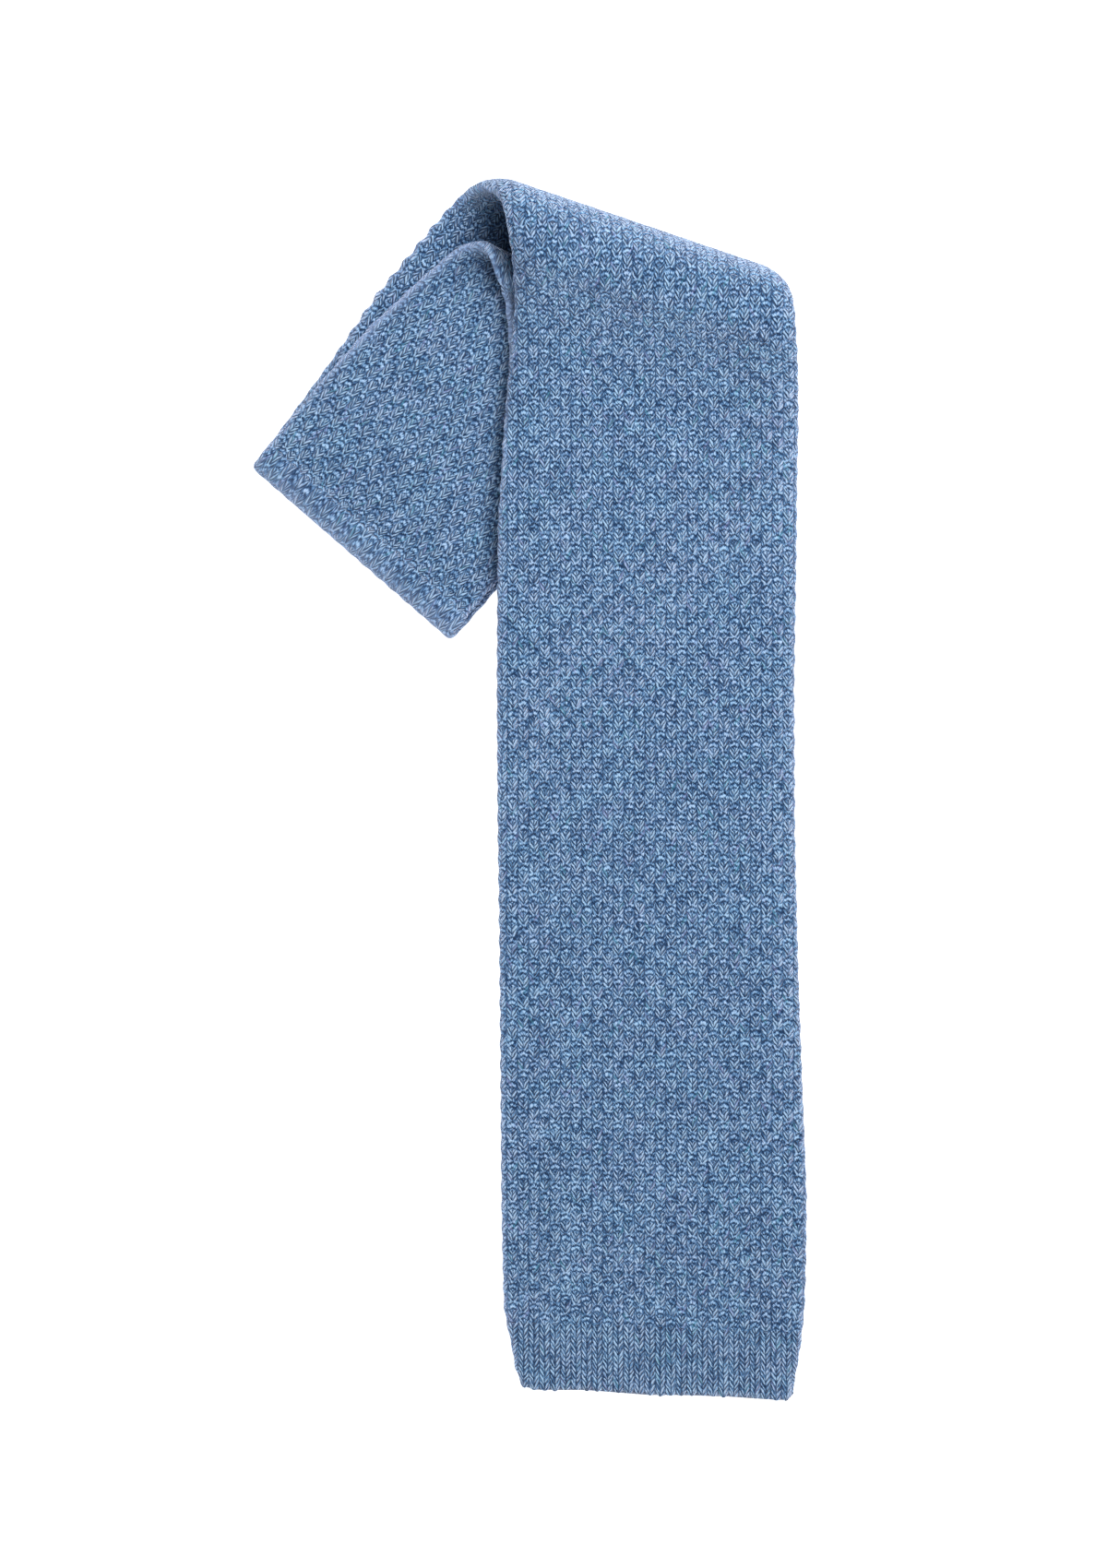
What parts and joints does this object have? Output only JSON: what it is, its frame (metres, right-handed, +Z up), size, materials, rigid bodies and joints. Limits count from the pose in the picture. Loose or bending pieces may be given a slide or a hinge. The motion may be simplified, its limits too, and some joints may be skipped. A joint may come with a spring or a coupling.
{
  "type": "folded knit tie",
  "caption": "Square-ended wool knit tie lying folded, front blade on top of its own layers, diamond relief stitch with a plain-knit border at the tip.",
  "frame": {"origin": "on the surface the tie lies on, under the middle of its bounding box", "axes": "+Y from the tip up the front blade to the top fold, +X to the blade's right seen from above, +Z up from the surface"},
  "size_m": [0.1268, 0.279, 0.0228],
  "materials": {
    "knit_wool": "brushed wool relief knit, fuzzy and matte, marled light and dark blue",
    "plain_knit_wool": "brushed wool plain knit, fuzzy and matte, marled light and dark blue"
  },
  "bodies": {
    "root": {"tie_body": "knit_wool", "tip_border": "plain_knit_wool"}
  },
  "joints": []
}
